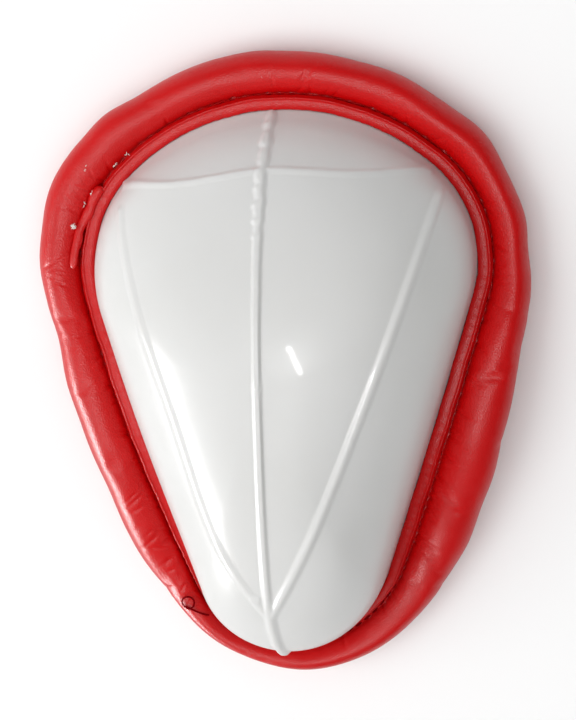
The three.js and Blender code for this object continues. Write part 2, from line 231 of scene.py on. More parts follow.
def edge_points(fractions, u, v):
    """Places section points on the edge: a row for each fraction, and a column for each u and v."""
    point, normal = foot_at(fractions)
    out = u * narrowing_at(point[..., 1])[..., None]
    z = np.maximum(v, 0.0) + arch_at(point[..., 1])[..., None]
    plan = point[..., None, :] + normal[..., None, :] * out[..., None]
    return np.concatenate([plan, z[..., None]], -1)


def bump(fractions, centre, half_length):
    """A smooth hump of height 1 on the edge."""
    apart = np.abs(np.mod(np.asarray(fractions) - centre + 0.5, 1.0) - 0.5)
    return smooth_step(1 - apart / half_length)


def round_noise(fractions, waves, extra, count=6):
    """Smooth seeded noise that closes on itself round the edge, from about -1 to 1."""
    source = random_source(extra)
    total = np.zeros_like(np.asarray(fractions, float))
    for _ in range(count):
        wave = max(1, int(round(waves * source.uniform(0.6, 1.5))))
        total = total + np.sin(2 * np.pi * (wave * fractions + source.uniform()))
    return total / math.sqrt(count) / 1.4


# ---------------------------------------------------------------- mesh making


def grid_faces(rows, columns, close_rows, close_columns):
    """Quads of a grid of points, which may close on itself either way."""
    row = np.arange(rows if close_rows else rows - 1)
    column = np.arange(columns if close_columns else columns - 1)
    row, column = np.meshgrid(row, column, indexing="ij")
    next_row = (row + 1) % rows
    next_column = (column + 1) % columns
    corners = [
        row * columns + column,
        next_row * columns + column,
        next_row * columns + next_column,
        row * columns + next_column,
    ]
    return np.stack(corners, -1).reshape(-1, 4)


def signed_volume(points, faces):
    total = 0.0
    for face in faces:
        for corner in range(1, len(face) - 1):
            a, b, c = points[face[0]], points[face[corner]], points[face[corner + 1]]
            total += float(a @ np.cross(b, c))
    return total


def add_mesh(name, points, faces, material, extra_faces=()):
    """A closed mesh object from points in millimetres, quads and other faces. Its faces point out."""
    quads = np.asarray(faces)
    a, b, c, d = (points[quads[:, k]] for k in range(4))
    volume = np.einsum("ij,ij->i", a, np.cross(b, c)).sum()
    volume += np.einsum("ij,ij->i", a, np.cross(c, d)).sum()
    volume += signed_volume(points, extra_faces)
    every = quads.tolist() + [list(face) for face in extra_faces]
    if volume < 0:
        every = [face[::-1] for face in every]
    mesh = bpy.data.meshes.new(name)
    mesh.from_pydata((points * MM).tolist(), [], every)
    mesh.validate()
    mesh.shade_smooth()
    mesh.materials.append(material)
    piece = bpy.data.objects.new(name, mesh)
    bpy.context.scene.collection.objects.link(piece)
    return piece


def tube(path, radii, sides, flatness=1.0):
    """Points, quads and end faces of a round or flattened bar along a path."""
    path = np.asarray(path, float)
    along = np.gradient(path, axis=0)
    along /= np.linalg.norm(along, axis=1)[:, None]
    across = np.cross(along, np.array([0.0, 0.0, 1.0]) + 1e-3)
    across /= np.linalg.norm(across, axis=1)[:, None]
    up = np.cross(across, along)
    turn = np.linspace(0, 2 * np.pi, sides, endpoint=False)
    radii = np.broadcast_to(radii, len(path))[:, None, None]
    ring = np.cos(turn)[None, :, None] * across[:, None]
    ring = ring + flatness * np.sin(turn)[None, :, None] * up[:, None]
    points = (path[:, None] + radii * ring).reshape(-1, 3)
    last = (len(path) - 1) * sides
    ends = [list(range(sides))[::-1], [last + side for side in range(sides)]]
    return points, grid_faces(len(path), sides, False, True), ends


def joined(parts):
    """Several (points, quads, other faces) put together into one."""
    points, quads, others, base = [], [], [], 0
    for part_points, part_quads, part_others in parts:
        points.append(part_points)
        quads.append(part_quads + base)
        others += [[corner + base for corner in face] for face in part_others]
        base += len(part_points)
    return np.concatenate(points), np.concatenate(quads), others


def stand_in_for(piece, node):
    """Fixes a finished piece to the body, in place of its CAD node if it has one."""
    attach(piece, "root")
    if node:
        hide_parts(node)
    return piece


# ---------------------------------------------------------------- dome


def round_dome(plan, share, base):
    """The dome before its top is cut by the facet: blunter at the bottom, leaner towards the top."""
    x, y = plan[..., 0] - DOME_CENTRE_X, plan[..., 1] - DOME_CENTRE_Y
    upwards = y / np.maximum(np.hypot(x, y), 1)
    end = np.where(upwards > 0, DOME_POWER_TOP, DOME_POWER_BOTTOM)
    power = DOME_POWER + (end - DOME_POWER) * upwards**2
    return base + (DOME_PEAK - base) * np.sqrt(np.maximum(1 - share**power, 0))


def top_facet(plan, base):
    """The steep facet above the crease. It ends in the two upper corners."""
    x, y = plan[..., 0], plan[..., 1]
    inwards = TOP_RADIUS - np.hypot(x, y - TOP_CENTRE_Y)
    fade = np.maximum(1 - np.abs(x / TOP_FACET_HALF_WIDTH) ** TOP_FACET_FADE_POWER, SMALLEST_FADE)
    facet = FLANGE_TOP + TOP_FACET_SLOPE * inwards / fade + TOP_FACET_LIFT
    return np.where(y < TOP_CENTRE_Y, 1e3, np.maximum(facet, base))


def dome_heights(plan, share, foot_y):
    """Height of the dome's outer face, without ribs, at plan points a share of the way out to the foot."""
    base = FLANGE_TOP + arch_at(foot_y)
    dome = round_dome(plan, share, base)
    facet = top_facet(plan, base)
    # A smooth minimum, which rounds the crease between the facet and the dome.
    blend = np.clip(0.5 + 0.5 * (facet - dome) / CREASE_ROUNDING, 0, 1)
    rounded = facet * (1 - blend) + dome * blend - CREASE_ROUNDING * blend * (1 - blend)
    return np.maximum(rounded, base)


def bulged(plan, heights, foot_y):
    """Dome points, with the nose, the bottom end, standing out over its foot."""
    base = FLANGE_TOP + arch_at(foot_y)
    rise = np.clip((heights - base) / (DOME_PEAK - base), 0, 1)
    x, y = plan[..., 0] - DOME_CENTRE_X, plan[..., 1] - DOME_CENTRE_Y
    downwards = np.maximum(-y / np.maximum(np.hypot(x, y), 1), 0)
    bulge = NOSE_OVERHANG * 4 * rise * (1 - rise) * downwards**6
    return np.stack([plan[..., 0], plan[..., 1] - bulge, heights], -1)


def dome_grid(fractions, shares):
    """Dome points for every share (row) and fraction (column)."""
    point, _ = foot_at(fractions)
    centre = np.array([DOME_CENTRE_X, DOME_CENTRE_Y])
    plan = centre + shares[:, None, None] * (point - centre)
    foot_y = np.broadcast_to(point[:, 1], plan.shape[:2])
    share = np.broadcast_to(shares[:, None], plan.shape[:2])
    return bulged(plan, dome_heights(plan, share, foot_y), foot_y)


FOOT_ANGLES = np.unwrap(np.arctan2(FOOT[:, 1] - DOME_CENTRE_Y, FOOT[:, 0] - DOME_CENTRE_X))
FOOT_REACH = np.hypot(FOOT[:, 0] - DOME_CENTRE_X, FOOT[:, 1] - DOME_CENTRE_Y)


def foot_share(plan):
    """How far out plan points lie, as a share of the way to the foot, and the foot's own y there."""
    x, y = plan[..., 0] - DOME_CENTRE_X, plan[..., 1] - DOME_CENTRE_Y
    turns = np.mod(np.arctan2(y, x) - FOOT_ANGLES[-1], 2 * np.pi) + FOOT_ANGLES[-1]
    reach = np.interp(turns, FOOT_ANGLES[::-1], FOOT_REACH[::-1])
    share = np.clip(np.hypot(x, y) / reach, 0, 1)
    return share, DOME_CENTRE_Y + y / np.maximum(share, 1e-3)


def crease_line(count=80):
    """Plan points where the top facet meets the dome, from the left corner to the right."""
    across = np.linspace(-0.985, 0.985, count) * TOP_FACET_HALF_WIDTH
    rows = np.linspace(35.0, 72.0, 400)
    plan = np.stack(np.meshgrid(across, rows, indexing="ij"), -1)
    share, foot_y = foot_share(plan)
    base = FLANGE_TOP + arch_at(foot_y)
    higher = top_facet(plan, base) < round_dome(plan, share, base)
    line = np.stack([across, rows[np.argmax(higher, 1)]], 1)
    return line[line[:, 1] > rows[0] + 8]


def grid_normals(grid):
    """Outward normals of a grid of dome points."""
    round_way = np.roll(grid, -1, 1) - np.roll(grid, 1, 1)
    out_way = np.gradient(grid, axis=0)
    normal = np.cross(out_way, round_way)
    normal /= np.maximum(np.linalg.norm(normal, axis=-1), 1e-9)[..., None]
    return normal * np.sign(normal[..., 2].mean())


# ---------------------------------------------------------------- ribs of the moulding


def smooth_line(points, count):
    """A smooth curve through a few plan points, evenly sampled."""
    points = np.asarray(points, float)
    knots = np.concatenate([[0], np.cumsum(np.hypot(*np.diff(points, axis=0).T))])
    tangents = np.gradient(points, knots, axis=0)
    wanted = np.linspace(0, knots[-1], count)
    index = np.clip(np.searchsorted(knots, wanted) - 1, 0, len(points) - 2)
    span = (knots[index + 1] - knots[index])[:, None]
    t = ((wanted - knots[index]) / span[:, 0])[:, None]
    start, end = points[index], points[index + 1]
    pull_start, pull_end = tangents[index] * span, tangents[index + 1] * span
    return (
        (2 * t**3 - 3 * t**2 + 1) * start
        + (t**3 - 2 * t**2 + t) * pull_start
        + (3 * t**2 - 2 * t**3) * end
        + (t**3 - t**2) * pull_end
    )


def nearest_on_line(plan, line):
    """Distance of every plan point from a line, signed to its left, and the share of the line passed."""
    flat = plan.reshape(-1, 2)
    distance = np.full(len(flat), 1e9)
    passed = np.zeros(len(flat))
    side = np.zeros(len(flat))
    for k in range(len(line) - 1):
        start, step = line[k], line[k + 1] - line[k]
        length = math.hypot(*step)
        offset = flat - start
        t = np.clip(offset @ step / length**2, 0, 1)
        gap = np.hypot(*(offset - t[:, None] * step).T)
        closer = gap < distance
        distance[closer] = gap[closer]
        passed[closer] = (k + t[closer]) / (len(line) - 1)
        side[closer] = np.sign(step[0] * offset[closer, 1] - step[1] * offset[closer, 0])
    return (distance * side).reshape(plan.shape[:-1]), passed.reshape(plan.shape[:-1])


def rib_profile(distance, half_width, softness):
    return smooth_step((half_width + softness - np.abs(distance)) / (2 * softness))


def middle_x(y):
    """The middle line of the moulding, which runs slightly askew to the edge."""
    return DOME_CENTRE_X + RIB_SKEW * (y - DOME_CENTRE_Y)


def rib_heights(plan):
    """How far the moulded ribs stand off the dome at plan points."""
    height = np.zeros(plan.shape[:-1])

    distance, _ = nearest_on_line(plan, crease_line())
    height = np.maximum(height, CREASE_HEIGHT * rib_profile(distance, 0.5, 0.6))

    centre = smooth_line([(middle_x(y), y) for y in (74, 30, -20, RIB_JOIN_Y)], 120)
    distance, _ = nearest_on_line(plan, centre)
    y = plan[..., 1]
    rough = smooth_step((y - 44) / 6) + 0.25 * smooth_step((y - 24) / 6)
    left_edge = np.sin(y * 1.75) + 0.6 * np.sin(y * 0.83 + 1) + 0.5 * np.sin(y * 3.3 + 2)
    right_edge = 0.4 * np.sin(y * 1.45 + 2) + 0.5 * np.sin(y * 0.6)
    ragged = np.where(distance > 0, right_edge, left_edge)
    half_width = 0.95 + rough * (0.2 + 0.22 * ragged)
    crest = CENTRE_RIB_HEIGHT + 0.05 * rough * left_edge
    height = np.maximum(height, crest * rib_profile(distance, half_width, 0.5))

    for side, tall, corner, upper, lower in OBLIQUE_RIBS:
        oblique = smooth_line(
            [
                (side * corner, OBLIQUE_TOP_Y),
                (side * upper + middle_x(OBLIQUE_UPPER_Y), OBLIQUE_UPPER_Y),
                (side * lower + middle_x(OBLIQUE_LOWER_Y), OBLIQUE_LOWER_Y),
                (middle_x(RIB_JOIN_Y), RIB_JOIN_Y - 3),
            ],
            120,
        )
        distance, _ = nearest_on_line(plan, oblique)
        height = np.maximum(height, tall * rib_profile(distance, 1.0, 0.9))

    nub = [(middle_x(RIB_JOIN_Y), RIB_JOIN_Y), (middle_x(-68) + 0.5, -68), (middle_x(-80) + 1.5, -80)]
    bottom = smooth_line(nub, 40)
    distance, passed = nearest_on_line(plan, bottom)
    height = np.maximum(height, (0.7 + 0.7 * passed) * rib_profile(distance, 1.2, 0.9))

    gate_x = middle_x(RIB_JOIN_Y) + GATE_SIDEWAYS
    gate = np.hypot(plan[..., 0] - gate_x, y - RIB_JOIN_Y - GATE_ABOVE_JOIN)
    return np.maximum(height, GATE_HEIGHT * rib_profile(gate - 0.6, 1.0, 0.4))


def build_shell(material):
    steps = 640
    outer_rings = 230
    inner_rings = 50
    fractions = np.arange(steps) / steps
    turn = np.linspace(0, np.pi / 2, outer_rings + 1)[1:]
    shares = np.sin(turn) ** (2 / DOME_POWER)
    smooth = dome_grid(fractions, shares)
    normal = grid_normals(smooth)
    outer = smooth + normal * rib_heights(smooth[..., :2])[..., None]
    foot, foot_normal = foot_at(fractions)
    above = np.clip((outer[..., 2] - FLANGE_TOP - arch_at(foot[:, 1])) / FILLET, 0, 1)
    flare = FILLET * (1 - np.sqrt(1 - (1 - above) ** 2))
    above = np.clip((outer[..., 2] - FLANGE_TOP - arch_at(foot[:, 1])) / FLARE_HEIGHT, 0, 1)
    flare += FLARE * (1 - above) ** 2
    outer[..., :2] += flare[..., None] * (foot_normal * narrowing_at(foot[:, 1])[:, None])

    inner_turn = np.linspace(np.pi / 2, 0, inner_rings + 1)[1:-1]
    inner_shares = np.sin(inner_turn) ** (2 / DOME_POWER)
    inner_smooth = dome_grid(fractions, inner_shares)
    inner = inner_smooth - grid_normals(inner_smooth) * WALL

    flange = [
        (FILLET + FLARE + 0.3, FLANGE_TOP),
        (FLANGE_EDGE_U - 0.3, FLANGE_TOP),
        (FLANGE_EDGE_U, FLANGE_TOP - 0.3),
        (FLANGE_EDGE_U, FLANGE_BOTTOM + 0.3),
        (FLANGE_EDGE_U - 0.3, FLANGE_BOTTOM),
        (-WALL, FLANGE_BOTTOM),
    ]
    flange_rings = []
    for u, v in flange:
        flange_rings.append(edge_points(fractions, np.full((1, 1), u), np.full((1, 1), v))[:, 0])
    grid = np.concatenate([outer, np.array(flange_rings), inner])
    rows = len(grid)
    points = grid.reshape(-1, 3)
    peak = len(points)
    tops = [[DOME_CENTRE_X, DOME_CENTRE_Y, DOME_PEAK - deep] for deep in (0, WALL)]
    points = np.concatenate([points, tops])
    points[peak, 2] += rib_heights(points[peak : peak + 1, :2])[0]
    faces = grid_faces(rows, steps, False, True)
    last = (rows - 1) * steps
    tips = []
    for step in range(steps):
        following = (step + 1) % steps
        tips.append((peak, step, following))
        tips.append((peak + 1, last + following, last + step))
    piece = add_mesh("moulded_cup", points, faces, material, tips)
    return stand_in_for(piece, "cup_shell")


# ---------------------------------------------------------------- edge roll


def smooth_round(fractions, anchors):
    """A smooth closed course through (fraction, value) anchors."""
    places, values = np.array(anchors, float).T
    places = np.concatenate([places - 1, places, places + 1])
    values = np.tile(values, 3)
    slopes = np.gradient(values, places)
    wanted = np.mod(fractions, 1.0)
    index = np.clip(np.searchsorted(places, wanted, side="right") - 1, 0, len(places) - 2)
    span = places[index + 1] - places[index]
    t = (wanted - places[index]) / span
    return (
        (2 * t**3 - 3 * t**2 + 1) * values[index]
        + (t**3 - 2 * t**2 + t) * span * slopes[index]
        + (3 * t**2 - 2 * t**3) * values[index + 1]
        + (t**3 - t**2) * span * slopes[index + 1]
    )


def roll_swell(fractions):
    """How much further out than the plain section the unevenly stuffed roll stands, in millimetres."""
    swell = smooth_round(fractions - EDGE_TURN, STUFFING)
    for centre, height in STUFFING_CORNERS:
        swell = swell + height * bump(fractions - EDGE_TURN, centre, 0.02)
    return swell + 0.22 * round_noise(fractions, 16, 1)


def roll_surface(fractions, angles):
    """Outer face of the leather roll: one row per fraction, one column per angle round the section."""
    swell = roll_swell(fractions)[:, None]
    half_width = ROLL_HALF_WIDTH + 0.5 * swell
    half_height = ROLL_HALF_HEIGHT + 0.35 * round_noise(fractions, 11, 2)[:, None]
    centre_u = ROLL_CENTRE_U + 0.5 * swell
    u = centre_u + half_width * np.cos(angles)
    v = ROLL_CENTRE_V + half_height * np.sin(angles)
    return edge_points(fractions, u, v)


def simulated_shift(material):
    """Cloth simulation of the stuffed leather, sewn fast along both lips. Gives how far it moves each point.

    It is run on a coarse closed sleeve at ten times the size, which keeps the solver steady.
    """
    fractions = np.arange(SLEEVE_STEPS) / SLEEVE_STEPS
    angles = np.linspace(-SLIT_ANGLE_REAR, SLIT_ANGLE_FRONT, SLEEVE_SIDES)
    start = roll_surface(fractions, angles)
    faces = grid_faces(SLEEVE_STEPS, SLEEVE_SIDES, True, True)
    sleeve = add_mesh("sleeve", start.reshape(-1, 3) * SLEEVE_SCALE, faces, material)
    sewn = sleeve.vertex_groups.new(name="sewn")
    columns = np.arange(SLEEVE_STEPS * SLEEVE_SIDES) % SLEEVE_SIDES
    held = np.where((columns == 0) | (columns == SLEEVE_SIDES - 1))[0]
    sewn.add(held.tolist(), 1.0, "REPLACE")
    cloth = sleeve.modifiers.new("cloth", "CLOTH")
    settings = cloth.settings
    settings.quality = 6
    settings.mass = 0.3
    settings.tension_stiffness = 25
    settings.compression_stiffness = 12
    settings.shear_stiffness = 8
    settings.bending_stiffness = 2.5
    settings.vertex_group_mass = "sewn"
    settings.shrink_min = -0.012
    settings.use_pressure = True
    settings.uniform_pressure_force = 6
    settings.effector_weights.gravity = 0
    for step in range(SLEEVE_FRAMES):
        bpy.context.scene.frame_set(step + 1)
    graph = bpy.context.evaluated_depsgraph_get()
    moved = sleeve.evaluated_get(graph).to_mesh()
    places = np.empty(len(moved.vertices) * 3)
    moved.vertices.foreach_get("co", places)
    bpy.data.objects.remove(sleeve)
    bpy.context.scene.frame_set(1)
    shift = places.reshape(start.shape) / MM / SLEEVE_SCALE - start
    middle = edge_points(fractions, np.full((1, 1), ROLL_CENTRE_U), np.full((1, 1), ROLL_CENTRE_V))
    outward = (start - middle) / np.linalg.norm(start - middle, axis=-1)[..., None]
    # The sleeve swells all over, and only its unevenness is wanted.
    shift = shift - outward * np.mean(np.sum(shift * outward, -1))
    far = np.linalg.norm(shift, axis=-1)[..., None]
    return shift * np.minimum(1, MOST_SHIFT / np.maximum(far, 1e-6)), angles


def spline_weights(part):
    """Weights of four neighbours in a smooth spline, at a part of the way between the middle two."""
    return [
        (1 - part) ** 3 / 6,
        (3 * part**3 - 6 * part**2 + 4) / 6,
        (-3 * part**3 + 3 * part**2 + 3 * part + 1) / 6,
        part**3 / 6,
    ]


def spread_shift(fractions, angles, material):
    """The simulated movement at any places on the roll."""
    shift, known_angles = simulated_shift(material)
    row = np.mod(fractions, 1.0) * SLEEVE_STEPS
    low = np.floor(row).astype(int)
    weights = spline_weights(row - low)
    rows = sum(weights[k][:, None, None] * shift[(low + k - 1) % SLEEVE_STEPS] for k in range(4))
    column = np.interp(angles, known_angles, np.arange(SLEEVE_SIDES))
    low = np.minimum(np.floor(column).astype(int), SLEEVE_SIDES - 2)
    weights = spline_weights(column - low)
    columns = [np.clip(low + k - 1, 0, SLEEVE_SIDES - 1) for k in range(4)]
    return sum(weights[k][None, :, None] * rows[:, columns[k]] for k in range(4))


def creases(fractions, angles):
    """Depth of the fine creases in the leather. Most run out from the seam, and some cross the roll."""
    source = random_source(4)
    along = fractions[:, None] * PERIMETER
    round_way = angles[None, :] * 7.0
    depth = np.zeros((len(fractions), len(angles)))
    spots = []
    for centre, spread, count, reach in CREASE_PATCHES:
        for _ in range(count):
            spots.append((centre + source.uniform(-spread, spread), reach, source.uniform(-0.9, 0.9)))
    for fraction, reach, lean in spots:
        start_angle = SLIT_ANGLE_FRONT - source.uniform(0.0, 0.25) - reach
        middle = start_angle * 7.0
        length = source.uniform(1.5, 4.5)
        width = source.uniform(0.35, 0.6)
        aside = along - fraction * PERIMETER - lean * (round_way - middle) * 0.6
        line = np.exp(-((aside / width) ** 2) - ((round_way - middle) / length) ** 2)
        depth = np.maximum(depth, source.uniform(0.12, 0.3) * line)
    return depth


def seam_puckers(fractions, angles):
    """Depth of the gathers that the stitches pull into the leather beside the seam."""
    arc = np.mod(fractions * STITCHES, 1.0)
    unevenness = np.clip(0.55 + 0.6 * round_noise(fractions, 47, 3), 0.1, 1.2)
    gather = (0.5 - 0.5 * np.cos(2 * np.pi * arc)) ** 2 * unevenness
    near_front = np.exp(-(((SLIT_ANGLE_FRONT - angles) / 0.16) ** 2))
    near_rear = np.exp(-(((SLIT_ANGLE_REAR + angles) / 0.16) ** 2))
    pull = 0.45 * gather[:, None] * (near_front + near_rear)[None]
    return pull + 0.1 * (near_front + near_rear)[None]


def build_roll(material):
    steps = 1400
    around = 84
    fractions = np.arange(steps) / steps
    angles = np.linspace(-SLIT_ANGLE_REAR, SLIT_ANGLE_FRONT, around)
    outer = roll_surface(fractions, angles)
    outer = outer + spread_shift(fractions, angles, material)
    middle = edge_points(fractions, np.full((1, 1), ROLL_CENTRE_U), np.full((1, 1), ROLL_CENTRE_V))
    inward = middle - outer
    inward /= np.linalg.norm(inward, axis=-1)[..., None]
    depth = seam_puckers(fractions, angles) + creases(fractions, angles)
    outer = outer + inward * depth[..., None]
    outer[..., 2] = np.maximum(outer[..., 2], arch_at(foot_at(fractions)[0][:, 1])[:, None])
    inner = (outer + inward * LEATHER)[:, :: -4]
    front_lip, rear_lip = FLANGE_TOP + GAP, FLANGE_BOTTOM - GAP
    upper = edge_points(
        fractions,
        np.array([[SLIT_END_U - 1, LIP_START_U, LIP_START_U, SLIT_END_U]]),
        np.array([[front_lip + LIP, front_lip + LIP, front_lip, front_lip]]),
    )
    lower = edge_points(
        fractions,
        np.array([[SLIT_END_U, LIP_START_U, LIP_START_U, SLIT_END_U - 1]]),
        np.array([[rear_lip, rear_lip, rear_lip - LIP, rear_lip - LIP]]),
    )
    section = np.concatenate([outer, upper, inner, lower], 1)
    points = section.reshape(-1, 3)
    piece = add_mesh("leather_roll", points, grid_faces(steps, section.shape[1], True, True), material)
    return stand_in_for(piece, "rim_cover")


def build_foam(material):
    """The foam roll inside the leather, cut to length and butted at the bottom end."""
    fractions = np.linspace(FOAM_START, FOAM_END, 240)
    angles = np.linspace(0, 2 * np.pi, 28, endpoint=False)
    shrink = LEATHER + 1.4
    source = random_source(6)
    rough = source.normal(0, 0.05, (len(fractions), len(angles)))
    u = ROLL_CENTRE_U + (ROLL_HALF_WIDTH - shrink + rough) * np.cos(angles)
    v = ROLL_CENTRE_V + (ROLL_HALF_HEIGHT - shrink + rough) * np.sin(angles)
    points = edge_points(fractions, np.maximum(u, FLANGE_EDGE_U + GAP), np.maximum(v, shrink))
    rows, columns = points.shape[:2]
    ends = [list(range(columns))[::-1], [(rows - 1) * columns + k for k in range(columns)]]
    faces = grid_faces(rows, columns, False, True)
    piece = add_mesh("foam_roll", points.reshape(-1, 3), faces, material, ends)
    return stand_in_for(piece, "foam_core")


def build_welt(name, node, middle_v, side, extra, material):
    """A folded strip whose rolled edge stands up in a crest next to the shell."""
    steps = 700
    fractions = np.arange(steps) / steps
    angles = np.linspace(0, 2 * np.pi, 40, endpoint=False)
    point, _ = foot_at(fractions)
    fade = 1 - 0.6 * smooth_step((-58 - point[:, 1]) / 20)[:, None]
    wander = 0.12 * round_noise(fractions, 30, extra)[:, None]
    gather = 0.07 * round_noise(fractions, 110, extra + 1)[:, None]
    across = np.cos(angles)[None]
    crest = 0.75 * np.exp(-(((across - 0.6) / 0.16) ** 2)) * (np.sin(angles) > 0)
    u = WELT_MIDDLE_U + wander + (WELT_HALF_WIDTH + gather) * across * fade
    v = middle_v + side * fade * (WELT_HALF_HEIGHT * np.sin(angles) + crest + gather)
    points = edge_points(fractions, u, v).reshape(-1, 3)
    piece = add_mesh(name, points, grid_faces(steps, len(angles), True, True), material)
    return stand_in_for(piece, node)


def edge_path(fractions, u, v):
    """A line of single points on the edge."""
    u = np.broadcast_to(u, len(fractions))[:, None]
    v = np.broadcast_to(v, len(fractions))[:, None]
    return edge_points(np.asarray(fractions), u, v)[:, 0]


def stitch_parts(u, v, side):
    """One short bar of thread for each stitch, with its ends drawn down into the leather."""
    source = random_source(30 if side > 0 else 31)
    reach = np.linspace(-1, 1, 6)
    parts = []
    for stitch in range(STITCHES):
        middle = (stitch + 0.5) / STITCHES
        half = 0.36 / STITCHES
        sink = side * (0.32 * reach**2 + source.uniform(0, 0.15))
        sideways = source.uniform(-0.12, 0.12)
        path = edge_path(middle + reach * half, u + sideways * reach, v - sink)
        parts.append(tube(path, 0.27 * np.sqrt(1.05 - reach**2), 6))
    return parts


def roll_height(u):
    """Height of the plain roll's outer face above its lowest point."""
    inside = np.clip(1 - ((u - ROLL_CENTRE_U) / ROLL_HALF_WIDTH) ** 2, 0, 1)
    return ROLL_CENTRE_V + ROLL_HALF_HEIGHT * np.sqrt(inside)


def thread_end():
    """The loose end of the sewing thread, curled in a small loop on the lower left."""
    turn = np.linspace(-0.6, 2 * np.pi - 0.2, 26)
    loop_u = 9.2 + 2.0 * np.cos(turn)
    loop_fraction = LOOP_FRACTION + 1.5 * np.sin(turn) / PERIMETER
    tail_u = np.linspace(loop_u[-1] - 0.6, 6.4, 9)
    tail_fraction = LOOP_FRACTION - np.linspace(0.5, 5.5, 9) / PERIMETER
    u = np.concatenate([loop_u, tail_u])
    fraction = np.concatenate([loop_fraction, tail_fraction])
    path = edge_path(fraction, u, roll_height(u) + 0.55)
    return tube(path, 0.24, 7)


def build_threads(material):
    front = joined(stitch_parts(SEAM_U, FLANGE_TOP + 2.1, 1) + [thread_end()])
    stand_in_for(add_mesh("front_stitches", *front[:2], material, front[2]), "front_thread")
    rear = joined(stitch_parts(SEAM_U, FLANGE_BOTTOM - 2.1, -1))
    stand_in_for(add_mesh("rear_stitches", *rear[:2], material, rear[2]), "rear_thread")


def build_tail(material):
    """The loose end of the cover strip, lapped over its start and curled into a thin roll beside the seam."""
    along = np.linspace(0, 1, 60)
    fractions = TAIL_TOP + (TAIL_FOOT - TAIL_TOP) * along
    u = 4.3 + 1.5 * along + 0.3 * np.sin(along * 11)
    lift = 0.5 + 0.35 * smooth_step((along - 0.75) / 0.2)
    radii = 1.6 * np.sqrt(np.clip(1 - np.abs(2 * along - 1) ** 9, 0.02, 1)) * (1 - 0.25 * along)
    radii = radii * (1 + 0.07 * np.sin(along * 17) + 0.04 * np.sin(along * 31 + 1))
    rolled = tube(edge_path(fractions, u, np.maximum(roll_height(u), TAIL_REST) + lift), radii, 16, 0.72)
    tongue_along = np.linspace(0, 1, 24)
    tongue_fractions = TAIL_FOOT + 0.012 - 0.022 * tongue_along
    tongue_u = 5.6 + 0.7 * tongue_along
    tongue_radii = 1.15 * np.sqrt(np.clip(1 - np.abs(2 * tongue_along - 1) ** 5, 0.03, 1))
    tongue = tube(edge_path(tongue_fractions, tongue_u, roll_height(tongue_u) + 0.9), tongue_radii, 14, 0.55)
    points, quads, others = joined([rolled, tongue])
    stand_in_for(add_mesh("cover_strip_end", points, quads, material, others), "cover_tail")


def build_fibres(material):
    """Short loose fibres of the off-white cloth backing, which stick out where the leather was cut."""
    source = random_source(40)
    parts = []
    for fraction, u, count, longest in FIBRE_TUFTS:
        for _ in range(count):
            start_u = u + source.uniform(-0.3, 0.3)
            start = fraction + source.uniform(-0.5, 0.5) / PERIMETER
            steps = np.linspace(0, 1, 6)
            length = longest * source.uniform(0.5, 1.0)
            heading = source.uniform(0, 2 * np.pi)
            bend = source.uniform(-1.2, 1.2) * steps
            fibre_u = start_u + length * steps * np.cos(heading + bend)
            fibre_fraction = start + length * steps * np.sin(heading + bend) / PERIMETER
            height = roll_height(start_u) + 0.45 + 0.5 * length * steps * source.uniform(0.1, 0.7)
            parts.append(tube(edge_path(fibre_fraction, fibre_u, height), 0.13 * (1.1 - steps), 5))
    points, quads, others = joined(parts)
    stand_in_for(add_mesh("backing_fibres", points, quads, material, others), None)


# ---------------------------------------------------------------- materials


def new_material(name, colour, roughness):
    material = bpy.data.materials.new(name)
    material.use_nodes = True
    shader = material.node_tree.nodes["Principled BSDF"]
    shader.inputs["Base Color"].default_value = (*colour, 1)
    shader.inputs["Roughness"].default_value = roughness
    return material, material.node_tree, shader


def noise(tree, scale, detail):
    """Noise in object space. The scale is in features per metre."""
    texture = tree.nodes.new("ShaderNodeTexNoise")
    texture.inputs["Scale"].default_value = scale
    texture.inputs["Detail"].default_value = detail
    tree.links.new(tree.nodes.new("ShaderNodeTexCoord").outputs["Object"], texture.inputs["Vector"])
    return texture.outputs["Fac"]


def mapped(tree, value, low, high, from_low=0.3, from_high=0.7):
    node = tree.nodes.new("ShaderNodeMapRange")
    node.inputs["From Min"].default_value = from_low
    node.inputs["From Max"].default_value = from_high
    node.inputs["To Min"].default_value = low
    node.inputs["To Max"].default_value = high
    tree.links.new(value, node.inputs["Value"])
    return node.outputs["Result"]


def mixed_colour(tree, value, first, second):
    node = tree.nodes.new("ShaderNodeMix")
    node.data_type = "RGBA"
    colours = [socket for socket in node.inputs if socket.type == "RGBA"]
    colours[0].default_value = (*first, 1)
    colours[1].default_value = (*second, 1)
    tree.links.new(value, node.inputs[0])
    return [socket for socket in node.outputs if socket.type == "RGBA"][0]


def bumped(tree, height, distance, strength, normal=None):
    node = tree.nodes.new("ShaderNodeBump")
    node.inputs["Distance"].default_value = distance
    node.inputs["Strength"].default_value = strength
    tree.links.new(height, node.inputs["Height"])
    if normal:
        tree.links.new(normal, node.inputs["Normal"])
    return node.outputs["Normal"]


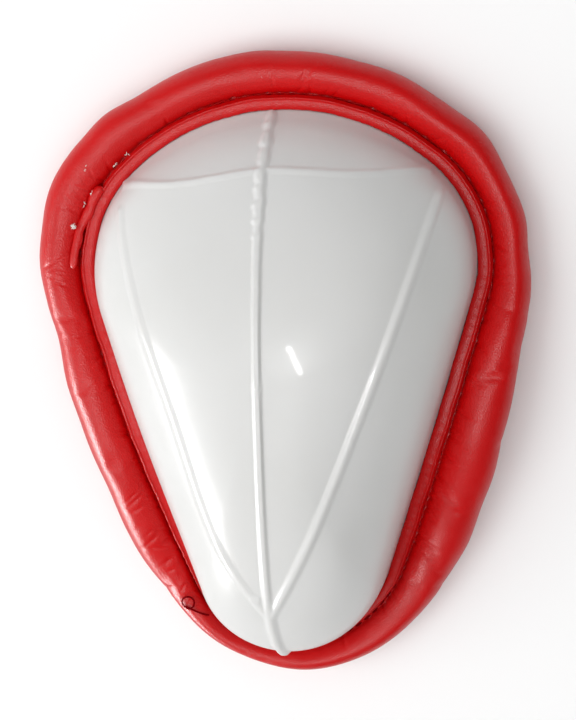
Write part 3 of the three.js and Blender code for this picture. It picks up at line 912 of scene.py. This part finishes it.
def leather_material():
    """Artificial leather: a fine pebbled grain, slightly uneven gloss and colour."""
    material, tree, shader = new_material("red_leather", (0.50, 0.0015, 0.0025), 0.34)
    shader.inputs["Specular IOR Level"].default_value = 0.26
    patches = mapped(tree, noise(tree, 60, 2), 0, 1, 0.2, 0.8)
    colour = mixed_colour(tree, patches, (0.53, 0.0008, 0.0014), (0.58, 0.001, 0.002))
    tree.links.new(colour, shader.inputs["Base Color"])
    tree.links.new(mapped(tree, noise(tree, 220, 3), 0.32, 0.42, 0.2, 0.8), shader.inputs["Roughness"])
    cells = tree.nodes.new("ShaderNodeTexVoronoi")
    cells.inputs["Scale"].default_value = 2600
    tree.links.new(tree.nodes.new("ShaderNodeTexCoord").outputs["Object"], cells.inputs["Vector"])
    grain = bumped(tree, cells.outputs["Distance"], 0.0001, 0.6)
    wrinkle = bumped(tree, noise(tree, 420, 4), 0.00008, 0.4, grain)
    tree.links.new(wrinkle, shader.inputs["Normal"])
    return material


def plastic_material():
    """Glossy white polyethylene: light sinks in a little, and the moulded face is very slightly uneven."""
    material, tree, shader = new_material("white_plastic", (0.66, 0.66, 0.65), 0.3)
    shader.inputs["Specular IOR Level"].default_value = 0.12
    shader.inputs["Coat Weight"].default_value = 0.08
    shader.inputs["Coat Roughness"].default_value = 0.07
    shader.inputs["Subsurface Weight"].default_value = 0.25
    shader.inputs["Subsurface Radius"].default_value = (1.0, 0.95, 0.9)
    shader.inputs["Subsurface Scale"].default_value = 0.0025
    patches = mapped(tree, noise(tree, 22, 2), 0, 1)
    colour = mixed_colour(tree, patches, (0.66, 0.66, 0.648), (0.70, 0.70, 0.692))
    tree.links.new(colour, shader.inputs["Base Color"])
    broad = bumped(tree, noise(tree, 60, 1), 0.0006, 0.03)
    tree.links.new(bumped(tree, noise(tree, 700, 2), 0.00004, 0.3, broad), shader.inputs["Normal"])
    return material


def thread_material():
    """Twisted dark red sewing thread."""
    material, tree, shader = new_material("red_thread", (0.17, 0.001, 0.003), 0.9)
    shader.inputs["Specular IOR Level"].default_value = 0.0
    wave = tree.nodes.new("ShaderNodeTexWave")
    wave.inputs["Scale"].default_value = 900
    tree.links.new(tree.nodes.new("ShaderNodeTexCoord").outputs["Object"], wave.inputs["Vector"])
    tree.links.new(bumped(tree, wave.outputs["Fac"], 0.0001, 0.6), shader.inputs["Normal"])
    return material


def foam_material():
    material, tree, shader = new_material("pale_foam", (0.80, 0.74, 0.58), 0.95)
    tree.links.new(bumped(tree, noise(tree, 1500, 3), 0.0004, 0.9), shader.inputs["Normal"])
    return material


def fibre_material():
    material, _, _ = new_material("off_white_fibre", (0.80, 0.74, 0.70), 0.9)
    return material


# ---------------------------------------------------------------- stage


# The studio is brighter on this side.
BRIGHT_SIDE = (-0.85, -0.15, 0.5)
DIM_WORLD = 0.1
BRIGHT_WORLD = 0.8

CAMERA_YAW = 7.5
CAMERA_PITCH = 15.0
CAMERA_ROLL = -3.8
CAMERA_DISTANCE = 0.486
CAMERA_LENS = 109.0
CAMERA_TARGET = (0.0006, 0.0074, 0.022)


def add_camera():
    data = bpy.data.cameras.new("camera")
    data.lens = CAMERA_LENS
    data.sensor_fit = "VERTICAL"
    data.sensor_height = 45.0
    camera = bpy.data.objects.new("camera", data)
    bpy.context.scene.collection.objects.link(camera)
    yaw, pitch = math.radians(CAMERA_YAW), math.radians(CAMERA_PITCH)
    back = Vector((math.sin(yaw) * math.cos(pitch), math.sin(pitch), math.cos(yaw) * math.cos(pitch)))
    right = Vector((0, 1, 0)).cross(back).normalized()
    up = back.cross(right)
    place = Vector(CAMERA_TARGET) + back * CAMERA_DISTANCE
    turn = Matrix((right, up, back)).transposed().to_4x4()
    roll = Matrix.Rotation(math.radians(CAMERA_ROLL), 4, "Z")
    camera.matrix_world = Matrix.Translation(place) @ turn @ roll
    bpy.context.scene.camera = camera


def add_floor():
    bpy.ops.mesh.primitive_plane_add(size=6, location=(0, 0, 0))
    floor = bpy.context.object
    floor.name = "floor"
    material, _, shader = new_material("pale_floor", (0.92, 0.92, 0.92), 0.9)
    shader.inputs["Specular IOR Level"].default_value = 0.0
    floor.data.materials.append(material)


def add_area_light(name, place, size, power, for_gloss):
    """A soft light on the object, or, if it is for gloss, one that only shows as a highlight."""
    data = bpy.data.lights.new(name, "AREA")
    data.shape = "RECTANGLE"
    data.size, data.size_y = size
    data.energy = power
    light = bpy.data.objects.new(name, data)
    light.location = place
    light.rotation_euler = (Vector((0, 0, 0.02)) - Vector(place)).to_track_quat("-Z", "Y").to_euler()
    light.visible_glossy = for_gloss
    light.visible_diffuse = not for_gloss
    bpy.context.scene.collection.objects.link(light)


def add_world():
    """A white studio that is brighter towards the upper left."""
    world = bpy.data.worlds.new("studio")
    world.use_nodes = True
    tree = world.node_tree
    place = tree.nodes.new("ShaderNodeTexCoord").outputs["Generated"]
    lean = tree.nodes.new("ShaderNodeVectorMath")
    lean.operation = "DOT_PRODUCT"
    lean.inputs[1].default_value = Vector(BRIGHT_SIDE).normalized()
    tree.links.new(place, lean.inputs[0])
    strength = mapped(tree, lean.outputs["Value"], DIM_WORLD, BRIGHT_WORLD, -1, 1)
    background = tree.nodes["Background"]
    background.inputs["Color"].default_value = (1, 1, 1, 1)
    tree.links.new(strength, background.inputs["Strength"])
    # The pale walls light the object but are too far off to show in its gloss.
    world.cycles_visibility.glossy = False
    bpy.context.scene.world = world


def add_lights():
    add_area_light("key_light", (-0.85, -0.05, 0.98), (1.0, 1.0), 8.0, False)
    add_area_light("top_light", (0.0, -0.1, 1.4), (1.4, 1.4), 5.9, False)
    add_area_light("left_strip", (-1.05, -0.66, 0.38), (0.9, 0.34), 72, True)
    add_area_light("upper_strip", (-0.35, 1.2, 0.18), (0.8, 0.12), 1.0, True)
    add_area_light("window_gleam", (0.05, -0.1, 1.18), (0.025, 0.34), 6.5, True)
    add_world()
    bpy.context.scene.view_settings.view_transform = "Standard"


# ---------------------------------------------------------------- the whole

add_camera()
add_floor()
add_lights()
leather = leather_material()
build_shell(plastic_material())
build_roll(leather)
build_foam(foam_material())
build_welt("front_welt_strip", "front_welt", FLANGE_TOP + GAP + LIP + WELT_HALF_HEIGHT, 1, 10, leather)
build_welt("rear_welt_strip", "rear_welt", FLANGE_BOTTOM - GAP - LIP - WELT_HALF_HEIGHT, -1, 12, leather)
build_threads(thread_material())
build_tail(leather)
build_fibres(fibre_material())
